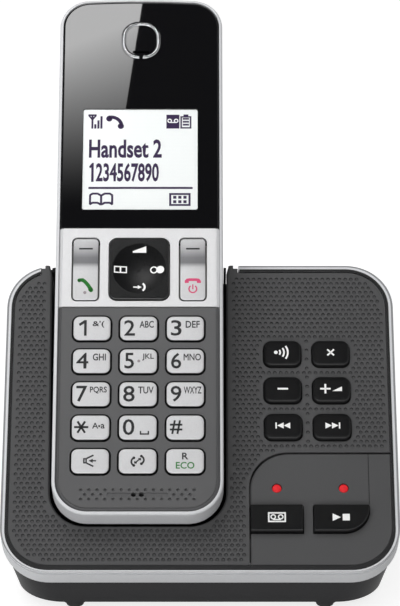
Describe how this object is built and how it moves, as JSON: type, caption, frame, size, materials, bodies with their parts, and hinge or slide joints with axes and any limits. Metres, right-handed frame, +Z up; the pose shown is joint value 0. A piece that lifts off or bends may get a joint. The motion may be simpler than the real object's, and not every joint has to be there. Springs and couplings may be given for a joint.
{
  "type": "cordless phone",
  "caption": "Cordless phone: a keypad handset with a display, standing in the cradle of a sloped base with answering machine keys; keys press, handset lifts out.",
  "frame": {"origin": "on the table, under the middle of the whole set's box with the handset docked", "axes": "+Z up, -Y towards the user, +X to the user's right"},
  "size_m": [0.112, 0.1388, 0.1401],
  "materials": {
    "silver_shell": "silver painted moulding, satin",
    "bright_silver": "pale silver painted moulding, satin",
    "key_silver": "pale silver painted keys, satin",
    "keypad_grey": "mid grey metallic paint, satin",
    "panel_grey": "charcoal moulding, satin",
    "gloss_black": "polished black window",
    "navigator_black": "black moulding, satin",
    "shell_black": "near-black moulding, fine grain",
    "earpiece_chrome": "bright plated ring",
    "display_glass": "pale reflective display",
    "soft_key_rubber": "black silicone",
    "hard_key_black": "black moulding, satin",
    "lamp_red": "clear red lens",
    "foot_rubber": "grey rubber",
    "silicone_white": "translucent silicone",
    "circuit_board": "green circuit board",
    "contact_metal": "plated contact metal",
    "screw_steel": "zinc plated steel",
    "cell_sleeve": "sleeved rechargeable cell",
    "device_black": "black component housing",
    "socket_plastic": "black socket housing"
  },
  "bodies": {
    "base": {"base_panel": "panel_grey", "base_rim": "silver_shell", "cradle": "shell_black", "lower_shell": "shell_black", "answer_panel": "panel_grey", "lamp_lenses": "lamp_red", "base_key_board": "circuit_board", "base_switches": "device_black", "base_speaker": "device_black", "base_main_board": "circuit_board", "dc_jack": "socket_plastic", "line_socket": "socket_plastic", "base_feet": "foot_rubber", "base_screws": "screw_steel"},
    "handset": {"front_frame": "silver_shell", "display_window": "gloss_black", "earpiece_ring": "earpiece_chrome", "lcd_glass": "display_glass", "lcd_holder": "device_black", "receiver": "device_black", "function_plate": "bright_silver", "keypad_panel": "keypad_grey", "handset_board": "circuit_board", "key_domes": "contact_metal", "keypad_mat": "silicone_white", "microphone": "device_black", "handset_rear_case": "shell_black", "charge_terminals": "contact_metal", "handsfree_speaker": "device_black", "battery_cells": "cell_sleeve", "battery_contacts": "contact_metal"},
    "key_speaker": {"key_speaker": "key_silver"},
    "key_intercom": {"key_intercom": "key_silver"},
    "key_recall": {"key_recall": "key_silver"},
    "key_star": {"key_star": "key_silver"},
    "key_0": {"key_0": "key_silver"},
    "key_hash": {"key_hash": "key_silver"},
    "key_7": {"key_7": "key_silver"},
    "key_8": {"key_8": "key_silver"},
    "key_9": {"key_9": "key_silver"},
    "key_4": {"key_4": "key_silver"},
    "key_5": {"key_5": "key_silver"},
    "key_6": {"key_6": "key_silver"},
    "key_1": {"key_1": "key_silver"},
    "key_2": {"key_2": "key_silver"},
    "key_3": {"key_3": "key_silver"},
    "talk_key": {"talk_key": "key_silver"},
    "end_key": {"end_key": "key_silver"},
    "navigator_pivot": {"navigator_pivot": "silicone_white"},
    "navigator_key": {"navigator_key": "navigator_black"},
    "battery_cover": {"battery_cover": "shell_black"},
    "skip_back_key": {"skip_back_key": "soft_key_rubber"},
    "skip_forward_key": {"skip_forward_key": "soft_key_rubber"},
    "volume_down_key": {"volume_down_key": "soft_key_rubber"},
    "volume_up_key": {"volume_up_key": "soft_key_rubber"},
    "paging_key": {"paging_key": "soft_key_rubber"},
    "erase_key": {"erase_key": "soft_key_rubber"},
    "answer_key": {"answer_key": "hard_key_black"},
    "play_key": {"play_key": "hard_key_black"},
    "charge_contacts": {"charge_contacts": "contact_metal"}
  },
  "joints": [
    {"name": "handset_lift", "type": "slide", "parent": "base", "child": "handset", "axis": [0, 0.7337, 0.6794], "range_m": [0, 0.09]},
    {"name": "key_speaker_press", "type": "slide", "parent": "handset", "child": "key_speaker", "axis": [0, 0.6794, -0.7337], "range_m": [0, 0.0008], "stiffness_N_per_m": 200, "springref_m": -0.0005},
    {"name": "key_intercom_press", "type": "slide", "parent": "handset", "child": "key_intercom", "axis": [0, 0.6794, -0.7337], "range_m": [0, 0.0008], "stiffness_N_per_m": 200, "springref_m": -0.0005},
    {"name": "key_recall_press", "type": "slide", "parent": "handset", "child": "key_recall", "axis": [0, 0.6794, -0.7337], "range_m": [0, 0.0008], "stiffness_N_per_m": 200, "springref_m": -0.0005},
    {"name": "key_star_press", "type": "slide", "parent": "handset", "child": "key_star", "axis": [0, 0.6794, -0.7337], "range_m": [0, 0.0008], "stiffness_N_per_m": 200, "springref_m": -0.0005},
    {"name": "key_0_press", "type": "slide", "parent": "handset", "child": "key_0", "axis": [0, 0.6794, -0.7337], "range_m": [0, 0.0008], "stiffness_N_per_m": 200, "springref_m": -0.0005},
    {"name": "key_hash_press", "type": "slide", "parent": "handset", "child": "key_hash", "axis": [0, 0.6794, -0.7337], "range_m": [0, 0.0008], "stiffness_N_per_m": 200, "springref_m": -0.0005},
    {"name": "key_7_press", "type": "slide", "parent": "handset", "child": "key_7", "axis": [0, 0.6794, -0.7337], "range_m": [0, 0.0008], "stiffness_N_per_m": 200, "springref_m": -0.0005},
    {"name": "key_8_press", "type": "slide", "parent": "handset", "child": "key_8", "axis": [0, 0.6794, -0.7337], "range_m": [0, 0.0008], "stiffness_N_per_m": 200, "springref_m": -0.0005},
    {"name": "key_9_press", "type": "slide", "parent": "handset", "child": "key_9", "axis": [0, 0.6794, -0.7337], "range_m": [0, 0.0008], "stiffness_N_per_m": 200, "springref_m": -0.0005},
    {"name": "key_4_press", "type": "slide", "parent": "handset", "child": "key_4", "axis": [0, 0.6794, -0.7337], "range_m": [0, 0.0008], "stiffness_N_per_m": 200, "springref_m": -0.0005},
    {"name": "key_5_press", "type": "slide", "parent": "handset", "child": "key_5", "axis": [0, 0.6794, -0.7337], "range_m": [0, 0.0008], "stiffness_N_per_m": 200, "springref_m": -0.0005},
    {"name": "key_6_press", "type": "slide", "parent": "handset", "child": "key_6", "axis": [0, 0.6794, -0.7337], "range_m": [0, 0.0008], "stiffness_N_per_m": 200, "springref_m": -0.0005},
    {"name": "key_1_press", "type": "slide", "parent": "handset", "child": "key_1", "axis": [0, 0.6794, -0.7337], "range_m": [0, 0.0008], "stiffness_N_per_m": 200, "springref_m": -0.0005},
    {"name": "key_2_press", "type": "slide", "parent": "handset", "child": "key_2", "axis": [0, 0.6794, -0.7337], "range_m": [0, 0.0008], "stiffness_N_per_m": 200, "springref_m": -0.0005},
    {"name": "key_3_press", "type": "slide", "parent": "handset", "child": "key_3", "axis": [0, 0.6794, -0.7337], "range_m": [0, 0.0008], "stiffness_N_per_m": 200, "springref_m": -0.0005},
    {"name": "talk_key_rock", "type": "hinge", "parent": "handset", "child": "talk_key", "pos_m": [-0.03275, -0.00731, 0.07881], "axis": [1, 0, 0], "range_deg": [-2.5, 2.5], "stiffness_Nm_per_rad": 0.02},
    {"name": "end_key_rock", "type": "hinge", "parent": "handset", "child": "end_key", "pos_m": [-0.00205, -0.00731, 0.07881], "axis": [1, 0, 0], "range_deg": [-2.5, 2.5], "stiffness_Nm_per_rad": 0.02},
    {"name": "navigator_side_tilt", "type": "hinge", "parent": "handset", "child": "navigator_pivot", "pos_m": [-0.0174, -0.00677, 0.07824], "axis": [0, 0.7337, 0.6794], "range_deg": [-2.5, 2.5], "stiffness_Nm_per_rad": 0.02},
    {"name": "navigator_tilt", "type": "hinge", "parent": "navigator_pivot", "child": "navigator_key", "pos_m": [-0.0174, -0.00677, 0.07824], "axis": [1, 0, 0], "range_deg": [-2.5, 2.5], "stiffness_Nm_per_rad": 0.02},
    {"name": "battery_cover_off", "type": "slide", "parent": "handset", "child": "battery_cover", "axis": [0, 0.6794, -0.7337], "range_m": [0, 0.012]},
    {"name": "skip_back_key_press", "type": "slide", "parent": "base", "child": "skip_back_key", "axis": [0, 0.6088, -0.7934], "range_m": [0, 0.0008], "stiffness_N_per_m": 250, "springref_m": -0.0005},
    {"name": "skip_forward_key_press", "type": "slide", "parent": "base", "child": "skip_forward_key", "axis": [0, 0.6088, -0.7934], "range_m": [0, 0.0008], "stiffness_N_per_m": 250, "springref_m": -0.0005},
    {"name": "volume_down_key_press", "type": "slide", "parent": "base", "child": "volume_down_key", "axis": [0, 0.6088, -0.7934], "range_m": [0, 0.0008], "stiffness_N_per_m": 250, "springref_m": -0.0005},
    {"name": "volume_up_key_press", "type": "slide", "parent": "base", "child": "volume_up_key", "axis": [0, 0.6088, -0.7934], "range_m": [0, 0.0008], "stiffness_N_per_m": 250, "springref_m": -0.0005},
    {"name": "paging_key_press", "type": "slide", "parent": "base", "child": "paging_key", "axis": [0, 0.6088, -0.7934], "range_m": [0, 0.0008], "stiffness_N_per_m": 250, "springref_m": -0.0005},
    {"name": "erase_key_press", "type": "slide", "parent": "base", "child": "erase_key", "axis": [0, 0.6088, -0.7934], "range_m": [0, 0.0008], "stiffness_N_per_m": 250, "springref_m": -0.0005},
    {"name": "answer_key_press", "type": "slide", "parent": "base", "child": "answer_key", "axis": [0, 0.6088, -0.7934], "range_m": [0, 0.0008], "stiffness_N_per_m": 250, "springref_m": -0.0005},
    {"name": "play_key_press", "type": "slide", "parent": "base", "child": "play_key", "axis": [0, 0.6088, -0.7934], "range_m": [0, 0.0008], "stiffness_N_per_m": 250, "springref_m": -0.0005},
    {"name": "charge_contact_spring", "type": "slide", "parent": "base", "child": "charge_contacts", "axis": [0, -0.7337, -0.6794], "range_m": [0, 0.0006], "stiffness_N_per_m": 200, "springref_m": -0.0005}
  ]
}
